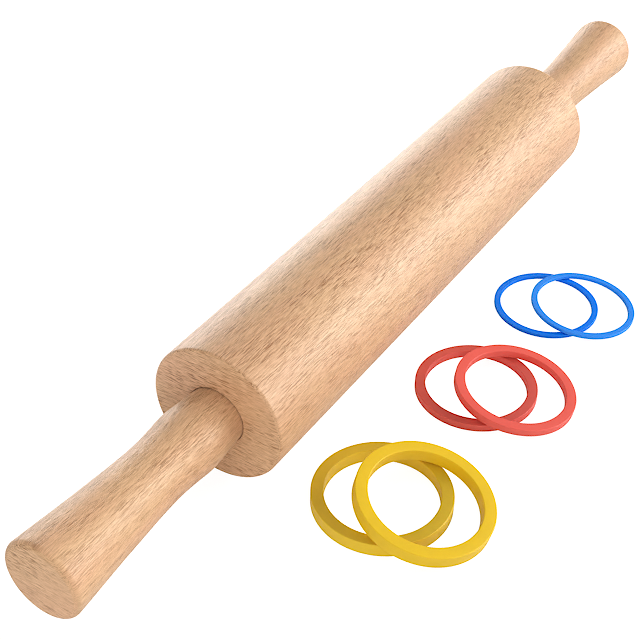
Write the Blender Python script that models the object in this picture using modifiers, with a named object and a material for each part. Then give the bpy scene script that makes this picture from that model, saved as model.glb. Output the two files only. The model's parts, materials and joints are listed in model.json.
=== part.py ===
"""Adjustable rolling pin: a wooden barrel that turns on a steel rod between two fixed
wooden handles, with three pairs of silicone rings that set the thickness of the dough.

Units are metres and +Z is up. The pin lies along X on the table plane z = 0, and the
rings lie beside it on the side of -Y. The origin is on the table, in the middle of the
whole set. Every piece is a turned shape: an outline, given as (radius, height) points
along the piece's own Z axis, spun once round that axis.
"""

import math

import bpy
from mathutils import Matrix, Vector

# Barrel
BARREL_LENGTH = 0.250
BARREL_RADIUS = 0.027
BARREL_EDGE = 0.0012
RECESS_DEPTH = 0.0075
POCKET_DEPTH = 0.014

# Handles, measured outwards from the barrel's end face
HANDLE_REACH = 0.090
HANDLE_END_RADIUS = 0.0152
HANDLE_END_EDGE = 0.0022
NECK_CHAMFER = 0.0006
# Each pair is a share of HANDLE_REACH and a share of HANDLE_END_RADIUS.
HANDLE_SHAPE_SHARES = (
    (0.00, 0.747),
    (0.09, 0.790),
    (0.18, 0.826),
    (0.27, 0.786),
    (0.36, 0.757),
    (0.48, 0.775),
    (0.61, 0.824),
    (0.75, 0.880),
    (0.88, 0.945),
    (1.00, 1.000),
)

# Rod with a threaded end of smaller diameter in each handle
ROD_RADIUS = 0.004
THREAD_RADIUS = 0.003
THREAD_LENGTH = 0.026
ROD_CHAMFER = 0.0006

# Flanged bush at each end of the barrel
BUSH_RADIUS = 0.0075
BUSH_LENGTH = 0.013
BUSH_FLANGE_RADIUS = 0.0105
BUSH_FLANGE = 0.0016

# Thrust washer between each bush and handle
WASHER_RADIUS = 0.009
WASHER_THICKNESS = 0.001

# Threaded insert in each handle
INSERT_RADIUS = 0.0055
INSERT_LENGTH = 0.020
INSERT_CHAMFER = 0.0005

# Clearances
SEAT_GAP = 0.0003
NECK_GAP = 0.0005
RUNNING_GAP = 0.0003
BORE_GAP = 0.0010
THREAD_END_ROOM = 0.004
RING_GAP = 0.0002

# Silicone rings, laid out along the pin from the middle of the barrel
RING_ROW_DISTANCE = 0.0569
RINGS = {
    "yellow": {
        "bore_radius": 0.02065,
        "wall": 0.0046,
        "width": 0.0054,
        "edge": 0.0007,
        "station": -0.1054,
        "upper_along": 0.0015,
        "upper_out": 0.0151,
    },
    "red": {
        "bore_radius": 0.0198,
        "wall": 0.0039,
        "width": 0.0032,
        "edge": 0.0007,
        "station": -0.0334,
        "upper_along": 0.0040,
        "upper_out": 0.0142,
    },
    "blue": {
        "bore_radius": 0.0191,
        "wall": 0.0025,
        "width": 0.0015,
        "edge": 0.0006,
        "station": 0.0309,
        "upper_along": 0.0067,
        "upper_out": 0.0135,
    },
}

# Facets round each kind of piece, and steps along its curves
BARREL_SIDES = 60
HANDLE_SIDES = 36
BUSH_SIDES = 32
ROD_SIDES = 24
RING_SIDES = 40
EDGE_STEPS = 3
RING_EDGE_STEPS = 2
CURVE_STEPS = 2

MERGE_DISTANCE = 0.00001
SHARP_ANGLE = math.radians(32)

# Sizes that follow from the ones above
NECK_RADIUS = HANDLE_SHAPE_SHARES[0][1] * HANDLE_END_RADIUS
RECESS_RADIUS = NECK_RADIUS + NECK_GAP
POCKET_RADIUS = BUSH_RADIUS + SEAT_GAP
BARREL_BORE_RADIUS = ROD_RADIUS + BORE_GAP
STACK = BUSH_FLANGE + WASHER_THICKNESS + 3 * SEAT_GAP
NECK_ENTRY = RECESS_DEPTH - STACK
INSERT_HOLE_RADIUS = INSERT_RADIUS + SEAT_GAP
THREAD_HOLE_RADIUS = THREAD_RADIUS + SEAT_GAP
SHOULDER = BARREL_LENGTH / 2 - NECK_ENTRY
# The barrel stands on one of its facets.
AXIS_HEIGHT = BARREL_RADIUS * math.cos(math.pi / BARREL_SIDES)

WOOD = ((0.75, 0.49, 0.31), 0.55, 0.0)
STEEL = ((0.62, 0.62, 0.64), 0.30, 1.0)
BRASS = ((0.78, 0.57, 0.25), 0.35, 1.0)
NYLON = ((0.86, 0.85, 0.80), 0.45, 0.0)
RING_COLOURS = {
    "yellow": (0.74, 0.50, 0.06),
    "red": (0.70, 0.13, 0.10),
    "blue": (0.04, 0.22, 0.80),
}
SILICONE_ROUGHNESS = 0.5


def clear_scene():
    for thing in list(bpy.data.objects):
        bpy.data.objects.remove(thing, do_unlink=True)


def material(name, colour, roughness, metallic):
    made = bpy.data.materials.new(name)
    made.use_nodes = True
    shader = made.node_tree.nodes["Principled BSDF"]
    shader.inputs["Base Color"].default_value = (*colour, 1.0)
    shader.inputs["Roughness"].default_value = roughness
    shader.inputs["Metallic"].default_value = metallic
    return made


def arc(before, corner, after, radius, steps):
    """The points that round a corner between its two neighbours."""
    towards = (before - corner).normalized()
    away = (after - corner).normalized()
    half = towards.angle(away) / 2
    setback = radius / math.tan(half)
    centre = corner + (towards + away).normalized() * (radius / math.sin(half))
    start = corner + towards * setback - centre
    end = corner + away * setback - centre
    turn = start.angle_signed(end)
    return [centre + Matrix.Rotation(-turn * i / steps, 2) @ start for i in range(steps + 1)]


def rounded(corners, closed, steps=EDGE_STEPS):
    """An outline from (radius, height, rounding) corners, which run down the outer side."""
    spots = [Vector(corner[:2]) for corner in corners]
    outline = []
    for i, (_, _, rounding) in enumerate(corners):
        inside = closed or 0 < i < len(corners) - 1
        if rounding and inside:
            after = spots[(i + 1) % len(spots)]
            outline += arc(spots[i - 1], spots[i], after, rounding, steps)
        else:
            outline.append(spots[i])
    return outline


def turned(name, outline, closed, sides, placement, finish):
    """A solid made by spinning the outline round its Z axis. The first point is half a
    facet round from X, so that a facet and not a corner faces along X."""
    half_facet = math.pi / sides
    points = [
        (point.x * math.cos(half_facet), point.x * math.sin(half_facet), point.y)
        for point in outline
    ]
    edges = [(i, i + 1) for i in range(len(points) - 1)]
    if closed:
        edges.append((len(points) - 1, 0))
    mesh = bpy.data.meshes.new(name)
    mesh.from_pydata(points, edges, [])
    body = bpy.data.objects.new(name, mesh)
    parts.objects.link(body)
    spin = body.modifiers.new("Spin", "SCREW")
    spin.steps = sides
    spin.render_steps = sides
    spin.use_merge_vertices = True
    spin.merge_threshold = MERGE_DISTANCE
    graph = bpy.context.evaluated_depsgraph_get()
    solid = bpy.data.meshes.new_from_object(body.evaluated_get(graph))
    body.modifiers.clear()
    body.data = solid
    bpy.data.meshes.remove(mesh)
    solid.name = name
    solid.shade_smooth()
    solid.set_sharp_from_angle(angle=SHARP_ANGLE)
    solid.materials.append(finish)
    body.matrix_world = placement
    return body


def on_pin(distance, outwards):
    """A frame on the pin's axis whose Z axis points to its far end (1) or near end (-1)."""
    centre = Vector((outwards * distance, AXIS_Y, AXIS_HEIGHT))
    return Matrix.Translation(centre) @ Matrix.Rotation(outwards * math.pi / 2, 4, "Y")


def outer_radius(ring):
    return ring["bore_radius"] + ring["wall"]


def upper_ring_tilt(ring):
    """The angle at which the second ring leans from the table on to the first one. It
    meets the table at its outer edge, and crosses over the first ring where its bore
    passes that ring's outer edge, on both sides."""
    outer = outer_radius(ring)
    apart = math.hypot(ring["upper_along"], ring["upper_out"])
    crossing = (apart**2 + outer**2 - ring["bore_radius"] ** 2) / (2 * apart)
    run = apart + outer - crossing
    return math.atan2(ring["width"] + RING_GAP, run)


def row_reach():
    """How far the widest pair of rings reaches from the pin's axis."""
    return max(
        RING_ROW_DISTANCE
        + ring["upper_out"]
        + outer_radius(ring) * math.cos(upper_ring_tilt(ring))
        for ring in RINGS.values()
    )


def lower_ring_place(ring):
    centre = (ring["station"], AXIS_Y - RING_ROW_DISTANCE, ring["width"] / 2)
    return Matrix.Translation(centre)


def upper_ring_place(ring):
    """Leans the ring away from the first one's centre and sets its lowest edge on z = 0."""
    offset = Vector((ring["upper_along"], -ring["upper_out"], 0))
    tilt = upper_ring_tilt(ring)
    edge = ring["edge"]
    lean_axis = Vector((0, 0, 1)).cross(offset)
    lean = Matrix.Rotation(tilt, 4, lean_axis)
    drop = (outer_radius(ring) - edge) * math.sin(tilt) + edge - edge * math.cos(tilt)
    face_centre = Vector((ring["station"], AXIS_Y - RING_ROW_DISTANCE, drop)) + offset
    lift = Matrix.Translation((0, 0, ring["width"] / 2))
    return Matrix.Translation(face_centre) @ lean @ lift


def barrel_outline():
    end = BARREL_LENGTH / 2
    floor = end - RECESS_DEPTH
    pocket = floor - POCKET_DEPTH
    upper = [
        (BARREL_BORE_RADIUS, pocket, 0),
        (POCKET_RADIUS, pocket, 0),
        (POCKET_RADIUS, floor, 0),
        (RECESS_RADIUS, floor, 0),
        (RECESS_RADIUS, end, 0),
        (BARREL_RADIUS, end, BARREL_EDGE),
    ]
    lower = [(radius, -height, rounding) for radius, height, rounding in reversed(upper)]
    return rounded(upper + lower, closed=True)


def handle_curve():
    """The side of the handle from its outer end to the barrel, smooth through the shares."""
    spots = [
        Vector((radius * HANDLE_END_RADIUS, reach * HANDLE_REACH))
        for reach, radius in reversed(HANDLE_SHAPE_SHARES)
    ]
    curve = []
    for i in range(len(spots) - 1):
        before = spots[max(i - 1, 0)]
        start, end = spots[i], spots[i + 1]
        after = spots[min(i + 2, len(spots) - 1)]
        for step in range(CURVE_STEPS):
            t = step / CURVE_STEPS
            curve.append(
                start * (1 + t * t * (2 * t - 3))
                + end * (t * t * (3 - 2 * t))
                + (end - before) / 2 * (t * (1 - t) ** 2)
                + (after - start) / 2 * (t * t * (t - 1))
            )
    return curve[1:] + [spots[-1]]


def handle_outline():
    insert_floor = INSERT_LENGTH + SEAT_GAP - NECK_ENTRY
    thread_floor = THREAD_LENGTH + THREAD_END_ROOM - NECK_ENTRY
    side = [(point.x, point.y, 0) for point in handle_curve()]
    corners = [
        (0, HANDLE_REACH, 0),
        (HANDLE_END_RADIUS, HANDLE_REACH, HANDLE_END_EDGE),
        *side,
        (NECK_RADIUS, NECK_CHAMFER - NECK_ENTRY, 0),
        (NECK_RADIUS - NECK_CHAMFER, -NECK_ENTRY, 0),
        (INSERT_HOLE_RADIUS, -NECK_ENTRY, 0),
        (INSERT_HOLE_RADIUS, insert_floor, 0),
        (THREAD_HOLE_RADIUS, insert_floor, 0),
        (THREAD_HOLE_RADIUS, thread_floor, 0),
        (0, thread_floor, 0),
    ]
    return rounded(corners, closed=False)


def rod_outline():
    tip = SHOULDER + THREAD_LENGTH
    upper = [
        (0, tip, 0),
        (THREAD_RADIUS - ROD_CHAMFER, tip, 0),
        (THREAD_RADIUS, tip - ROD_CHAMFER, 0),
        (THREAD_RADIUS, SHOULDER - SEAT_GAP, 0),
        (ROD_RADIUS, SHOULDER - SEAT_GAP, 0),
    ]
    lower = [(radius, -height, rounding) for radius, height, rounding in reversed(upper)]
    return rounded(upper + lower, closed=False)


def bush_outline():
    """Heights run outwards from the floor of the barrel's recess."""
    bore = ROD_RADIUS + RUNNING_GAP
    return rounded(
        [
            (bore, BUSH_FLANGE + SEAT_GAP, 0),
            (BUSH_FLANGE_RADIUS, BUSH_FLANGE + SEAT_GAP, 0),
            (BUSH_FLANGE_RADIUS, SEAT_GAP, 0),
            (BUSH_RADIUS, SEAT_GAP, 0),
            (BUSH_RADIUS, SEAT_GAP - BUSH_LENGTH, 0),
            (bore, SEAT_GAP - BUSH_LENGTH, 0),
        ],
        closed=True,
    )


def washer_outline():
    """Heights run outwards from the bush's flange."""
    bore = ROD_RADIUS + RUNNING_GAP
    return rounded(
        [
            (bore, SEAT_GAP + WASHER_THICKNESS, 0),
            (WASHER_RADIUS, SEAT_GAP + WASHER_THICKNESS, 0),
            (WASHER_RADIUS, SEAT_GAP, 0),
            (bore, SEAT_GAP, 0),
        ],
        closed=True,
    )


def insert_outline():
    """Heights run outwards from the rod's shoulder, where the insert is drawn up."""
    return rounded(
        [
            (THREAD_HOLE_RADIUS, INSERT_LENGTH, 0),
            (INSERT_RADIUS - INSERT_CHAMFER, INSERT_LENGTH, 0),
            (INSERT_RADIUS, INSERT_LENGTH - INSERT_CHAMFER, 0),
            (INSERT_RADIUS, 0, 0),
            (THREAD_HOLE_RADIUS, 0, 0),
        ],
        closed=True,
    )


def ring_outline(ring):
    outer = outer_radius(ring)
    half = ring["width"] / 2
    edge = ring["edge"]
    return rounded(
        [
            (ring["bore_radius"], half, edge),
            (outer, half, edge),
            (outer, -half, edge),
            (ring["bore_radius"], -half, edge),
        ],
        closed=True,
        steps=RING_EDGE_STEPS,
    )


def make_pin():
    wood = material("barrel_wood", *WOOD)
    turned("barrel", barrel_outline(), True, BARREL_SIDES, on_pin(0, 1), wood)
    steel = material("rod_steel", *STEEL)
    turned("axle_rod", rod_outline(), False, ROD_SIDES, on_pin(0, 1), steel)
    end = BARREL_LENGTH / 2
    floor = end - RECESS_DEPTH
    flange = floor + SEAT_GAP + BUSH_FLANGE
    for side, outwards in (("near", -1), ("far", 1)):
        turned(
            f"handle_{side}",
            handle_outline(),
            False,
            HANDLE_SIDES,
            on_pin(end, outwards),
            material(f"handle_{side}_wood", *WOOD),
        )
        turned(
            f"bush_{side}",
            bush_outline(),
            True,
            BUSH_SIDES,
            on_pin(floor, outwards),
            material(f"bush_{side}_nylon", *NYLON),
        )
        turned(
            f"washer_{side}",
            washer_outline(),
            True,
            BUSH_SIDES,
            on_pin(flange, outwards),
            material(f"washer_{side}_steel", *STEEL),
        )
        turned(
            f"insert_{side}",
            insert_outline(),
            True,
            ROD_SIDES,
            on_pin(SHOULDER, outwards),
            material(f"insert_{side}_brass", *BRASS),
        )


def make_rings():
    for colour, ring in RINGS.items():
        for level, place in (("lower", lower_ring_place), ("upper", upper_ring_place)):
            name = f"ring_{colour}_{level}"
            silicone = material(name, RING_COLOURS[colour], SILICONE_ROUGHNESS, 0.0)
            turned(name, ring_outline(ring), True, RING_SIDES, place(ring), silicone)


# The pin's axis stands off the origin so that the whole set is centred on it.
AXIS_Y = (row_reach() - BARREL_RADIUS) / 2

clear_scene()
parts = bpy.data.collections.new("adjustable_rolling_pin")
bpy.context.scene.collection.children.link(parts)
make_pin()
make_rings()
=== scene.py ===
"""Looks of the adjustable rolling pin: turned wood and moulded silicone rings in finer meshes
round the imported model, on a white table under soft studio light.

Units are metres and +Z is up. The pin lies along X and its near end is the one at -X.
"""

import json
import math

import bpy
import numpy as np
from mathutils import Matrix, Vector

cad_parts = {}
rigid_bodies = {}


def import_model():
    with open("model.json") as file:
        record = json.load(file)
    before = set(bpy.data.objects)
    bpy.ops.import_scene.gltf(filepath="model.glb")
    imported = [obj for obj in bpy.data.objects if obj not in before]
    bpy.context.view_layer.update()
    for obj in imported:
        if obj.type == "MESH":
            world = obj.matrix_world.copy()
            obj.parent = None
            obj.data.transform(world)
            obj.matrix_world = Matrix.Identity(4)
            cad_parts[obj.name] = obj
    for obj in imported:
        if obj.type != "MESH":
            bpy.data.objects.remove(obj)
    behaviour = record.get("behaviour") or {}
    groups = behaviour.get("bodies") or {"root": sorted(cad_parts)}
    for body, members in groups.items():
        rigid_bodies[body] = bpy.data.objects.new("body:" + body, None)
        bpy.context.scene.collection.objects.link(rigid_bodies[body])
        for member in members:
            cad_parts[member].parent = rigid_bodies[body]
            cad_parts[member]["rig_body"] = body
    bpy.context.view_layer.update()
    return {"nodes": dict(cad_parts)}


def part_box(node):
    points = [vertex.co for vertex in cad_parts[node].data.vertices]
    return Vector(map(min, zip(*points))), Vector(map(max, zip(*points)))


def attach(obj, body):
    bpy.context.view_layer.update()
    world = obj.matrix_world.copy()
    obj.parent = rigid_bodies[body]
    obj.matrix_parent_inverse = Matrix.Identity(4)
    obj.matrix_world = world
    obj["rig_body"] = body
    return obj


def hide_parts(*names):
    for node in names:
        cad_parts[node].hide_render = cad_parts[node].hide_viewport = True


# Camera, as fitted to the photograph's outlines
CAMERA_PLACE = (-0.39506, -0.17065, 0.33815)
CAMERA_AZIMUTH = math.radians(31.348)
CAMERA_DIP = math.radians(38.398)
CAMERA_ROLL = math.radians(1.878)
FOCAL_PIXELS = 1320.44
FRAME_PIXELS = 640
SENSOR_WIDTH = 36.0
NEAR_CLIP = 0.01

# Barrel and handles
BARREL_EDGE = 0.0012
RECESS_DEPTH = 0.0075
RECESS_RADIUS = 0.0116
RECESS_EDGE = 0.0001
POCKET_DEPTH = 0.014
POCKET_RADIUS = 0.0078
BORE_RADIUS = 0.005
NECK_ENTRY = 0.004
NECK_CHAMFER = 0.0006
INSERT_HOLE_RADIUS = 0.0058
INSERT_HOLE_DEPTH = 0.0203
THREAD_HOLE_RADIUS = 0.0033
THREAD_HOLE_DEPTH = 0.030
HANDLE_END_RADIUS = 0.0152
HANDLE_END_EDGE = 0.0022
# Each pair is a share of the handle's reach and a share of its end's radius.
HANDLE_SHAPE_SHARES = (
    (0.00, 0.747),
    (0.09, 0.790),
    (0.18, 0.826),
    (0.27, 0.786),
    (0.36, 0.757),
    (0.48, 0.775),
    (0.61, 0.824),
    (0.75, 0.880),
    (0.88, 0.945),
    (1.00, 1.000),
)

# Rounding of the rings' edges
RING_EDGES = {"yellow": 0.0004, "red": 0.0003, "blue": 0.0002}

# Fineness of the meshes
BARREL_SIDES = 192
HANDLE_SIDES = 128
RING_SIDES = 160
EDGE_STEPS = 8
CURVE_STEPS = 8
SHARP_ANGLE = math.radians(35)

# Wood, in linear colours
WOOD_LIGHT = (0.722, 0.449, 0.243)
WOOD_DARK = (0.652, 0.396, 0.210)
PORE_TINT = (0.58, 0.44, 0.29)
ROSY_TINT = (1.0, 0.95, 0.98)
BRIGHT_FIBRE = (1.13, 1.14, 1.15)
DIM_FIBRE = (0.87, 0.80, 0.73)
PORE_DEPTH = 0.00009
# A piece's own place in the grain, and its tone, fineness and contrast. The tone is painted
# light and shade: it lifts the near handle, which the barrel's end shades, and dims the far
# one, which shows brighter under the lights.
WOODS = {
    "barrel": ((0.31, 0.07, 0.02), 1.0, 1.0, 1.04),
    "handle_near": ((0.9, 0.011, 0.043), 1.055, 1.25, 0.85),
    "handle_far": ((1.7, 0.037, 0.008), 0.955, 1.25, 0.85),
}
# A layer of the grain is noise, drawn out along the wood: how far on a turned side and how far
# on an end face, and then the noise's scale, detail and roughness
GRAIN_LAYERS = {
    "coarse": (6.0, 3.0, 190.0, 3.0, 0.5),
    "broad": (7.0, 4.0, 110.0, 2.0, 0.5),
    "bands": (14.0, 8.0, 420.0, 2.0, 0.6),
    "streaks": (16.0, 6.0, 1300.0, 2.0, 0.6),
    "fibres": (20.0, 10.0, 5000.0, 2.0, 0.6),
    "fine_pores": (28.0, 14.0, 4800.0, 1.0, 0.4),
    "wide_pores": (26.0, 14.0, 3400.0, 1.0, 0.4),
    "rosy": (4.0, 3.0, 75.0, 2.0, 0.5),
}
# The grain sways sideways a little as it runs along.
GRAIN_SWAY = (0.0, 0.0005, 0.0005)
SWAY_SCALE = 45.0
# On an end face the grain has this share of its fineness.
END_GRAIN = 0.6
END_FACE_COSINE = 0.7
# Along two sides of a turned piece the grain is fainter and stronger, which is painted light:
# the contrast drops on the side under the main softbox's highlight, as if the highlight washed
# the grain out, and rises along the back rim. Each side is given as a direction from the axis,
# and its span as the cosines to it between which the change sets in.
PAINTED_HIGHLIGHT_SIDE = (0.0, -0.875, 0.485)
PAINTED_HIGHLIGHT_SPAN = (0.92, 0.99)
PAINTED_HIGHLIGHT_CONTRAST = 0.76
PAINTED_RIM_SIDE = (0.0, 0.60, 0.80)
PAINTED_RIM_SPAN = (0.78, 0.90)
PAINTED_RIM_GAIN = 1.42

# The other materials, in linear colours
# The two bands of a colour are one silicone. The small differences between their tints are
# painted light and shade that go with how each band is lit: the lower blue band is darker, and
# the lower yellow and red bands, which the top softbox leaves out, a little lighter.
SILICONE_WITH_PAINTED_LIGHT = {
    "yellow": {"lower": (0.85, 0.57, 0.03), "upper": (0.83, 0.54, 0.015)},
    "red": {"lower": (0.86, 0.13, 0.10), "upper": (0.84, 0.12, 0.09)},
    "blue": {"lower": (0.00, 0.20, 0.92), "upper": (0.03, 0.27, 0.92)},
}
ROD_STEEL = (0.62, 0.62, 0.64)
WASHER_STEEL = (0.60, 0.60, 0.62)
BRASS = (0.78, 0.57, 0.25)
NYLON_LIGHT = (0.88, 0.87, 0.82)
NYLON_DARK = (0.80, 0.79, 0.73)

# The lights face the origin. Their angles are in degrees and their strengths in watts.
LIGHTS = {
    # name: (azimuth, elevation, distance, width, height, strength)
    "main_softbox": (-46, 20, 1.3, 1.0, 0.7, 15.0),
    "side_softbox": (-105, 22, 1.3, 0.9, 0.7, 2.2),
    "back_softbox": (62, 4, 1.3, 0.9, 0.6, 6.4),
    "back_strip": (50, 6, 0.7, 0.6, 0.25, 1.7),
    "front_softbox": (190, 12, 1.3, 0.9, 0.6, 5.7),
    "top_softbox": (0, 85, 1.3, 1.0, 1.0, 4.4),
}
# These don't show in reflections.
UNREFLECTED_LIGHTS = ("front_softbox", "top_softbox")
WARM_LIGHTS = ("back_softbox", "back_strip")
WARM_TINT = (1.0, 0.985, 0.94)
# A panel on the table behind the pin, which shines upwards: place, width, depth and strength
TABLE_PANEL = ((0.05, 0.26, 0.001), 0.5, 0.36, 0.45)
# The top softbox leaves these out.
SHADED_BANDS = ("band_yellow_lower", "band_red_lower")
WORLD_STRENGTH = 0.35

# The table is FLOOR_COLOUR for the light's sake, and the camera sees its glow and a faint lit
# share. Without that share the denoiser leaves thin shapes in front of the table grainy.
FLOOR_COLOUR = (0.80, 0.80, 0.80)
FLOOR_GLOW = 0.9
FAINT_FLOOR = (0.24, 0.24, 0.24)
FLOOR_REACH = 6.0
FLOOR_GAP = 0.0002

PICTURE_SHARPENING = 0.18


def opaque(colour):
    """A colour with its alpha, or a socket as it is."""
    return colour if isinstance(colour, bpy.types.NodeSocket) else (*colour, 1.0)


class Tree:
    """A short way to add shader nodes: inputs are given as values or as sockets to link."""

    def __init__(self, owner):
        self.tree = owner.node_tree
        self.tree.nodes.clear()

    def add(self, kind, inputs=(), **settings):
        node = self.tree.nodes.new("ShaderNode" + kind)
        for name, value in settings.items():
            setattr(node, name, value)
        for name, value in dict(inputs).items():
            if isinstance(value, bpy.types.NodeSocket):
                self.tree.links.new(value, node.inputs[name])
            else:
                node.inputs[name].default_value = value
        return node

    def math(self, operation, *values):
        return self.add("Math", dict(enumerate(values)), operation=operation).outputs[0]

    def vector(self, operation, *values):
        return self.add("VectorMath", dict(enumerate(values)), operation=operation).outputs[0]

    def dot(self, first, second):
        node = self.add("VectorMath", {0: first, 1: second}, operation="DOT_PRODUCT")
        return node.outputs["Value"]

    def noise(self, vector, scale, detail=2.0, roughness=0.5):
        inputs = {"Vector": vector, "Scale": scale, "Detail": detail, "Roughness": roughness}
        return self.add("TexNoise", inputs)

    def ramp(self, value, low, high, to_low=0.0, to_high=1.0):
        inputs = {
            "Value": value,
            "From Min": low,
            "From Max": high,
            "To Min": to_low,
            "To Max": to_high,
        }
        return self.add("MapRange", inputs, interpolation_type="SMOOTHSTEP").outputs[0]

    def choose(self, factor, first, second):
        """The first vector where the factor is 0 and the second where it is 1."""
        inputs = {0: factor, 4: first, 5: second}
        return self.add("Mix", inputs, data_type="VECTOR").outputs[1]

    def mix(self, factor, first, second, blend="MIX"):
        """A blend of two colours."""
        inputs = {0: factor, 6: opaque(first), 7: opaque(second)}
        return self.add("Mix", inputs, data_type="RGBA", blend_type=blend).outputs[2]

    def bump(self, height, distance):
        return self.add("Bump", {"Height": height, "Distance": distance}).outputs["Normal"]

    def join(self, kind, first, second, inputs=()):
        """The sum or the mix of two shaders."""
        joined = self.add(kind, inputs)
        self.tree.links.new(first.outputs[0], joined.inputs[-2])
        self.tree.links.new(second.outputs[0], joined.inputs[-1])
        return joined

    def white_when_seen(self, pale, white):
        """The pale shader for the light's sake, and the white one where the camera sees it."""
        seen = self.add("LightPath").outputs["Is Camera Ray"]
        return self.join("MixShader", pale, white, {"Fac": seen}).outputs[0]

    def finish(self, inputs):
        shader = self.add("BsdfPrincipled", inputs)
        self.add("OutputMaterial", {"Surface": shader.outputs["BSDF"]})


def new_material(name):
    made = bpy.data.materials.new(name)
    made.use_nodes = True
    return made


def wood(node, radius):
    """Light hardwood. On a turned side the grain runs along the piece, at a steady place round
    its X axis, and on an end face it runs along Y."""
    shift, painted_light_tone, fineness, contrast = WOODS[node]
    made = new_material(f"{node}_wood")
    tree = Tree(made)
    coordinates = tree.add("TexCoord")
    normal = tree.add("SeparateXYZ", {"Vector": coordinates.outputs["Normal"]})
    endways = tree.math("ABSOLUTE", normal.outputs["X"])
    facing_end = tree.math("GREATER_THAN", endways, END_FACE_COSINE)

    place = coordinates.outputs["Object"]
    sway = tree.noise(tree.vector("ADD", place, shift), SWAY_SCALE, 1.0).outputs["Color"]
    sway = tree.vector("MULTIPLY", tree.vector("SUBTRACT", sway, (0.5, 0.5, 0.5)), GRAIN_SWAY)
    place = tree.vector("ADD", place, sway)
    outwards = tree.vector("NORMALIZE", tree.vector("MULTIPLY", place, (0.0, 1.0, 1.0)))
    # Painted light: the grain's contrast falls on the side under the main highlight and rises
    # along the back rim.
    contrast_and_painted_light = tree.ramp(tree.dot(outwards, PAINTED_HIGHLIGHT_SIDE), *PAINTED_HIGHLIGHT_SPAN, contrast, PAINTED_HIGHLIGHT_CONTRAST)
    painted_rim_gain = tree.ramp(tree.dot(outwards, PAINTED_RIM_SIDE), *PAINTED_RIM_SPAN, 1.0, PAINTED_RIM_GAIN)
    contrast_and_painted_light = tree.math("MULTIPLY", contrast_and_painted_light, painted_rim_gain)

    lengthways = tree.vector("MULTIPLY", place, (fineness, 0.0, 0.0))
    sideways = tree.vector("MULTIPLY", outwards, (0.0, fineness * radius, fineness * radius))
    side_place = tree.vector("ADD", tree.vector("ADD", lengthways, sideways), shift)
    end_place = tree.vector("ADD", tree.vector("MULTIPLY", place, (fineness,) * 3), shift)

    def layer(name):
        stretch, end_stretch, scale, detail, roughness = GRAIN_LAYERS[name]
        side = tree.vector("MULTIPLY", side_place, (1 / stretch, 1.0, 1.0))
        end = tree.vector("MULTIPLY", end_place, (1.0, END_GRAIN / end_stretch, END_GRAIN))
        spot = tree.choose(facing_end, side, end)
        return tree.noise(spot, scale, detail, roughness).outputs["Fac"]

    fibres = layer("fibres")
    streaks = layer("streaks")
    # Thin dark lines along the grain, strongest where the wood is coarse. Their strength also
    # carries the painted light that fades the grain under the main highlight and strengthens it
    # along the back rim.
    strength = tree.math("MULTIPLY", tree.ramp(layer("coarse"), 0.34, 0.64, 0.42, 0.88), contrast_and_painted_light)
    fine_pores = tree.math("MULTIPLY", tree.ramp(layer("fine_pores"), 0.56, 0.66), strength)
    wide_pores = tree.math("MULTIPLY", tree.ramp(layer("wide_pores"), 0.63, 0.70), strength)

    # Painted light and shade: the tone lifts the near handle's colours and dims the far
    # handle's.
    light = tuple(painted_light_tone * channel for channel in WOOD_LIGHT)
    dark = tuple(painted_light_tone * channel for channel in WOOD_DARK)
    colour = tree.mix(tree.ramp(layer("broad"), 0.30, 0.70, 0.1, 0.45), light, dark)
    colour = tree.mix(tree.ramp(layer("bands"), 0.38, 0.68, 0.0, 0.32), colour, dark)
    dim = tree.math("MULTIPLY_ADD", tree.ramp(fibres, 0.3, 0.7, -0.5, 0.5), contrast_and_painted_light, 0.5)
    colour = tree.mix(1.0, colour, tree.mix(dim, BRIGHT_FIBRE, DIM_FIBRE), "MULTIPLY")
    shade = tree.ramp(streaks, 0.3, 0.7, 1.02, 0.98)
    grey = tree.add("CombineXYZ", {"X": shade, "Y": shade, "Z": shade}).outputs[0]
    colour = tree.mix(1.0, colour, grey, "MULTIPLY")
    colour = tree.mix(tree.ramp(layer("rosy"), 0.35, 0.65), colour, ROSY_TINT, "MULTIPLY")
    for pores in (fine_pores, wide_pores):
        colour = tree.mix(pores, colour, PORE_TINT, "MULTIPLY")

    pores = tree.math("MAXIMUM", fine_pores, wide_pores)
    height = tree.math("SUBTRACT", tree.math("MULTIPLY", fibres, 0.4), pores)
    tree.finish(
        {
            "Base Color": colour,
            "Roughness": tree.ramp(streaks, 0.2, 0.8, 0.42, 0.54),
            "Specular IOR Level": 0.5,
            "Coat Weight": 0.45,
            "Coat Roughness": 0.48,
            "Sheen Weight": 0.08,
            "Sheen Roughness": 0.4,
            "Normal": tree.bump(height, PORE_DEPTH),
        }
    )
    return made


def silicone(name, colour):
    made = new_material(name)
    tree = Tree(made)
    place = tree.add("TexCoord").outputs["Object"]
    cloud = tree.noise(place, 220.0, detail=3.0).outputs["Fac"]
    grain = tree.noise(place, 3800.0).outputs["Fac"]
    deeper = tuple(0.96 * channel for channel in colour)
    tree.finish(
        {
            "Base Color": tree.mix(tree.ramp(cloud, 0.3, 0.7), colour, deeper),
            "Roughness": tree.ramp(cloud, 0.3, 0.7, 0.38, 0.46),
            "Specular IOR Level": 0.4,
            "Normal": tree.bump(grain, 0.00002),
            "Subsurface Weight": 0.12,
            "Subsurface Radius": (0.0015, 0.001, 0.0008),
            "Subsurface Scale": 1.0,
        }
    )
    return made


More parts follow.
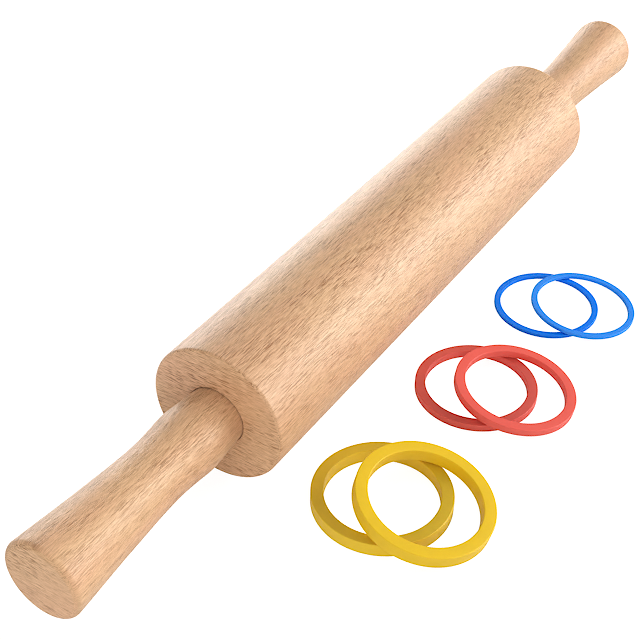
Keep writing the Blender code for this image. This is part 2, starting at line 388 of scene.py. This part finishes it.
def metal(name, colour, roughness, drawn_out=1.0):
    """Satin metal, whose fine grain is drawn out along X into lines by the given factor."""
    made = new_material(name)
    tree = Tree(made)
    place = tree.add("TexCoord").outputs["Object"]
    stretched = tree.vector("MULTIPLY", place, (1 / drawn_out, 1.0, 1.0))
    lines = tree.noise(stretched, 4000.0).outputs["Fac"]
    darker = tuple(0.82 * channel for channel in colour)
    tree.finish(
        {
            "Base Color": tree.mix(lines, colour, darker),
            "Roughness": tree.ramp(lines, 0.2, 0.8, roughness - 0.06, roughness + 0.08),
            "Metallic": 1.0,
            "Normal": tree.bump(lines, 0.00001),
        }
    )
    return made


def nylon(name):
    made = new_material(name)
    tree = Tree(made)
    place = tree.add("TexCoord").outputs["Object"]
    cloud = tree.noise(place, 300.0).outputs["Fac"]
    grain = tree.noise(place, 2500.0).outputs["Fac"]
    tree.finish(
        {
            "Base Color": tree.mix(cloud, NYLON_LIGHT, NYLON_DARK),
            "Roughness": tree.ramp(cloud, 0.3, 0.7, 0.40, 0.52),
            "Normal": tree.bump(grain, 0.00001),
        }
    )
    return made


def arc(before, corner, after, radius):
    """The points that round a corner between its two neighbours."""
    towards = (before - corner).normalized()
    away = (after - corner).normalized()
    half = towards.angle(away) / 2
    setback = radius / math.tan(half)
    centre = corner + (towards + away).normalized() * (radius / math.sin(half))
    start = corner + towards * setback - centre
    end = corner + away * setback - centre
    turn = start.angle_signed(end)
    turns = [Matrix.Rotation(-turn * i / EDGE_STEPS, 2) for i in range(EDGE_STEPS + 1)]
    return [centre + part_turn @ start for part_turn in turns]


def rounded(corners):
    """An outline from (radius, place, rounding) corners along a turned piece."""
    spots = [Vector(corner[:2]) for corner in corners]
    outline = []
    for i, (_, _, rounding) in enumerate(corners):
        if rounding:
            outline += arc(spots[i - 1], spots[i], spots[(i + 1) % len(spots)], rounding)
        else:
            outline.append(spots[i])
    return outline


def turned(name, outline, sides, placement, finish):
    """A mesh of the outline spun round the X axis of its placement. The outline's points are
    (radius, place along X). One that begins on the axis is open and ends there too, and any
    other one is closed. The turn goes into the mesh, so that the piece's box lies along the
    world's axes."""
    angles = [math.tau * i / sides for i in range(sides)]
    points = []
    rings = []
    for spot in outline:
        if spot.x:
            rings.append(range(len(points), len(points) + sides))
            points += [(spot.y, spot.x * math.cos(a), spot.x * math.sin(a)) for a in angles]
        else:
            rings.append([len(points)] * sides)
            points.append((spot.y, 0.0, 0.0))
    faces = []
    spans = len(rings) if outline[0].x else len(rings) - 1
    for i in range(spans):
        first, second = rings[i], rings[(i + 1) % len(rings)]
        for j in range(sides):
            k = (j + 1) % sides
            corners = [first[j], first[k], second[k], second[j]]
            faces.append(list(dict.fromkeys(corners)))
    mesh = bpy.data.meshes.new(name)
    mesh.from_pydata(points, [], faces)
    mesh.transform(placement.to_3x3().to_4x4())
    mesh.shade_smooth()
    mesh.set_sharp_from_angle(angle=SHARP_ANGLE)
    mesh.materials.append(finish)
    piece = bpy.data.objects.new(name, mesh)
    bpy.context.scene.collection.objects.link(piece)
    piece.location = placement.translation
    return piece


def stand_in(piece, node):
    """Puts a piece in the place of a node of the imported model, on that node's body."""
    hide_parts(node)
    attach(piece, frame["nodes"][node]["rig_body"])


def barrel_outline(half, radius):
    recess_floor = half - RECESS_DEPTH
    pocket_floor = recess_floor - POCKET_DEPTH
    far = [
        (BORE_RADIUS, pocket_floor, 0),
        (POCKET_RADIUS, pocket_floor, 0),
        (POCKET_RADIUS, recess_floor, 0),
        (RECESS_RADIUS, recess_floor, 0),
        (RECESS_RADIUS, half, RECESS_EDGE),
        (radius, half, BARREL_EDGE),
    ]
    near = [(across, -place, rounding) for across, place, rounding in reversed(far)]
    return rounded(far + near)


def handle_curve(reach):
    """The side of the handle from its outer end to the barrel, smooth through the shares."""
    spots = [
        Vector((radius * HANDLE_END_RADIUS, share * reach))
        for share, radius in reversed(HANDLE_SHAPE_SHARES)
    ]
    curve = []
    for i in range(len(spots) - 1):
        before = spots[max(i - 1, 0)]
        start, end = spots[i], spots[i + 1]
        after = spots[min(i + 2, len(spots) - 1)]
        for step in range(CURVE_STEPS):
            t = step / CURVE_STEPS
            curve.append(
                start * (1 + t * t * (2 * t - 3))
                + end * (t * t * (3 - 2 * t))
                + (end - before) / 2 * (t * (1 - t) ** 2)
                + (after - start) / 2 * (t * t * (t - 1))
            )
    return curve[1:] + [spots[-1]]


def handle_outline(reach):
    """Places run outwards from the barrel's end face."""
    neck = HANDLE_SHAPE_SHARES[0][1] * HANDLE_END_RADIUS
    side = [spot for spot in handle_curve(reach) if spot.y < reach - HANDLE_END_EDGE]
    corners = [
        (0, reach, 0),
        (HANDLE_END_RADIUS, reach, HANDLE_END_EDGE),
        *[(spot.x, spot.y, 0) for spot in side],
        (neck, NECK_CHAMFER - NECK_ENTRY, 0),
        (neck - NECK_CHAMFER, -NECK_ENTRY, 0),
        (INSERT_HOLE_RADIUS, -NECK_ENTRY, 0),
        (INSERT_HOLE_RADIUS, INSERT_HOLE_DEPTH - NECK_ENTRY, 0),
        (THREAD_HOLE_RADIUS, INSERT_HOLE_DEPTH - NECK_ENTRY, 0),
        (THREAD_HOLE_RADIUS, THREAD_HOLE_DEPTH - NECK_ENTRY, 0),
        (0, THREAD_HOLE_DEPTH - NECK_ENTRY, 0),
    ]
    return rounded(corners)


def make_pin():
    low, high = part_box("barrel")
    half = (high.x - low.x) / 2
    middle = (low + high) / 2
    # The barrel lies on the table, so its axis is one radius up.
    radius = middle.z
    placement = Matrix.Translation(middle)
    finish = wood("barrel", radius)
    body = turned("barrel_body", barrel_outline(half, radius), BARREL_SIDES, placement, finish)
    stand_in(body, "barrel")
    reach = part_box("handle_far")[1].x - high.x
    for side, turn in (("near", math.pi), ("far", 0)):
        node = f"handle_{side}"
        outwards = Matrix.Rotation(turn, 4, "Z") @ Matrix.Translation((half, 0, 0))
        finish = wood(node, HANDLE_END_RADIUS)
        outline = handle_outline(reach)
        grip = turned(f"grip_{side}", outline, HANDLE_SIDES, placement @ outwards, finish)
        stand_in(grip, node)


def ring_pose(node):
    """The ring's frame, with its axis as X, and its bore radius, outer radius and width."""
    points = np.array([tuple(v.co) for v in frame["nodes"][node].data.vertices])
    # A point that the mesh repeats counts once.
    points = np.unique(points.round(6), axis=0)
    centre = points.mean(axis=0)
    axis = np.linalg.svd(points - centre, full_matrices=False)[2][2]
    axis = axis * np.sign(axis[2])
    along = (points - centre) @ axis
    across = np.linalg.norm(points - centre - np.outer(along, axis), axis=1)
    turn = Vector((1, 0, 0)).rotation_difference(Vector(axis)).to_matrix().to_4x4()
    placement = Matrix.Translation(centre) @ turn
    return placement, across.min(), across.max(), along.max() - along.min()


def ring_outline(bore, outer, width, edge):
    half = width / 2
    corners = [
        (bore, half, edge),
        (outer, half, edge),
        (outer, -half, edge),
        (bore, -half, edge),
    ]
    return rounded(corners)


def make_rings():
    for colour, lit_and_shaded_tints in SILICONE_WITH_PAINTED_LIGHT.items():
        for level, tint_with_painted_light in lit_and_shaded_tints.items():
            node = f"ring_{colour}_{level}"
            placement, bore, outer, width = ring_pose(node)
            outline = ring_outline(bore, outer, width, RING_EDGES[colour])
            # The band's tint carries painted light and shade besides the silicone's own colour.
            finish = silicone(f"{colour}_{level}_silicone", tint_with_painted_light)
            band = turned(f"band_{colour}_{level}", outline, RING_SIDES, placement, finish)
            stand_in(band, node)


def dress_inner_parts():
    """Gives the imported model's own inner pieces their materials."""
    finishes = {"axle_rod": metal("drawn_steel", ROD_STEEL, 0.28, drawn_out=40.0)}
    for side in ("near", "far"):
        finishes[f"bush_{side}"] = nylon(f"bush_{side}_nylon")
        finishes[f"washer_{side}"] = metal(f"washer_{side}_steel", WASHER_STEEL, 0.32)
        finishes[f"insert_{side}"] = metal(f"insert_{side}_brass", BRASS, 0.34)
    for node, finish in finishes.items():
        mesh = frame["nodes"][node].data
        mesh.materials.clear()
        mesh.materials.append(finish)


def make_camera():
    towards = Vector(
        (
            math.cos(CAMERA_DIP) * math.cos(CAMERA_AZIMUTH),
            math.cos(CAMERA_DIP) * math.sin(CAMERA_AZIMUTH),
            -math.sin(CAMERA_DIP),
        )
    )
    right = towards.cross(Vector((0, 0, 1))).normalized()
    up = right.cross(towards)
    rolled_right = math.cos(CAMERA_ROLL) * right + math.sin(CAMERA_ROLL) * up
    rolled_up = math.cos(CAMERA_ROLL) * up - math.sin(CAMERA_ROLL) * right
    turn = Matrix((rolled_right, rolled_up, -towards)).transposed().to_4x4()
    data = bpy.data.cameras.new("photo_view")
    data.sensor_width = SENSOR_WIDTH
    data.lens = FOCAL_PIXELS / FRAME_PIXELS * SENSOR_WIDTH
    data.clip_start = NEAR_CLIP
    camera = bpy.data.objects.new("photo_view", data)
    bpy.context.scene.collection.objects.link(camera)
    camera.matrix_world = Matrix.Translation(CAMERA_PLACE) @ turn
    bpy.context.scene.camera = camera


def area_light(name, place, turn, width, height, strength):
    data = bpy.data.lights.new(name, "AREA")
    data.shape = "RECTANGLE"
    data.size = width
    data.size_y = height
    data.energy = strength
    if name in WARM_LIGHTS:
        data.color = WARM_TINT
    light = bpy.data.objects.new(name, data)
    light.location = place
    light.rotation_euler = turn
    light.visible_camera = False
    light.visible_glossy = name not in UNREFLECTED_LIGHTS
    bpy.context.scene.collection.objects.link(light)


def make_lights():
    for name, (azimuth, elevation, distance, width, height, strength) in LIGHTS.items():
        azimuth, elevation = math.radians(azimuth), math.radians(elevation)
        direction = Vector(
            (
                math.cos(elevation) * math.cos(azimuth),
                math.cos(elevation) * math.sin(azimuth),
                math.sin(elevation),
            )
        )
        turn = direction.to_track_quat("Z", "Y").to_euler()
        area_light(name, direction * distance, turn, width, height, strength)
    place, width, depth, strength = TABLE_PANEL
    area_light("table_panel", place, (math.pi, 0, 0), width, depth, strength)


def make_surroundings():
    """A pale studio all round. Seen directly it is pure white, as behind a cut-out picture."""
    world = bpy.data.worlds.new("studio")
    world.use_nodes = True
    tree = Tree(world)
    white = (1.0, 1.0, 1.0, 1.0)
    pale = tree.add("Background", {"Color": white, "Strength": WORLD_STRENGTH})
    seen = tree.add("Background", {"Color": white, "Strength": 1.0})
    tree.add("OutputWorld", {"Surface": tree.white_when_seen(pale, seen)})
    bpy.context.scene.world = world
    bpy.context.scene.view_settings.view_transform = "Standard"


def make_floor():
    """A pale table. Seen directly it is white, as behind a cut-out picture."""
    mesh = bpy.data.meshes.new("table")
    corners = [(x, y, 0) for x, y in ((-1, -1), (1, -1), (1, 1), (-1, 1))]
    mesh.from_pydata([Vector(corner) * FLOOR_REACH for corner in corners], [], [range(4)])
    made = new_material("white_table")
    tree = Tree(made)
    pale = tree.add("BsdfDiffuse", {"Color": opaque(FLOOR_COLOUR)})
    glow = tree.add("Emission", {"Strength": FLOOR_GLOW})
    faint = tree.add("BsdfDiffuse", {"Color": opaque(FAINT_FLOOR)})
    white = tree.join("AddShader", glow, faint)
    tree.add("OutputMaterial", {"Surface": tree.white_when_seen(pale, white)})
    mesh.materials.append(made)
    floor = bpy.data.objects.new("table", mesh)
    bpy.context.scene.collection.objects.link(floor)
    floor.location.z = -FLOOR_GAP


def shade_lower_bands():
    """Keeps the top softbox off two lower bands, which the upper ones shade in the picture."""
    shaded = bpy.data.collections.new("shaded_from_top")
    bpy.data.objects["top_softbox"].light_linking.receiver_collection = shaded
    for name in SHADED_BANDS:
        shaded.objects.link(bpy.data.objects[name])
    for entry in shaded.collection_objects:
        entry.light_linking.link_state = "EXCLUDE"


def sharpen_picture():
    """A light sharpening, such as a product picture gets."""
    scene = bpy.context.scene
    scene.use_nodes = True
    tree = scene.node_tree
    tree.nodes.clear()
    layers = tree.nodes.new("CompositorNodeRLayers")
    sharpened = tree.nodes.new("CompositorNodeFilter")
    sharpened.filter_type = "SHARPEN_DIAMOND"
    sharpened.inputs["Fac"].default_value = PICTURE_SHARPENING
    output = tree.nodes.new("CompositorNodeComposite")
    tree.links.new(layers.outputs["Image"], sharpened.inputs["Image"])
    tree.links.new(sharpened.outputs["Image"], output.inputs["Image"])


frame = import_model()
make_camera()
make_pin()
make_rings()
dress_inner_parts()
make_lights()
make_surroundings()
make_floor()
shade_lower_bands()
sharpen_picture()
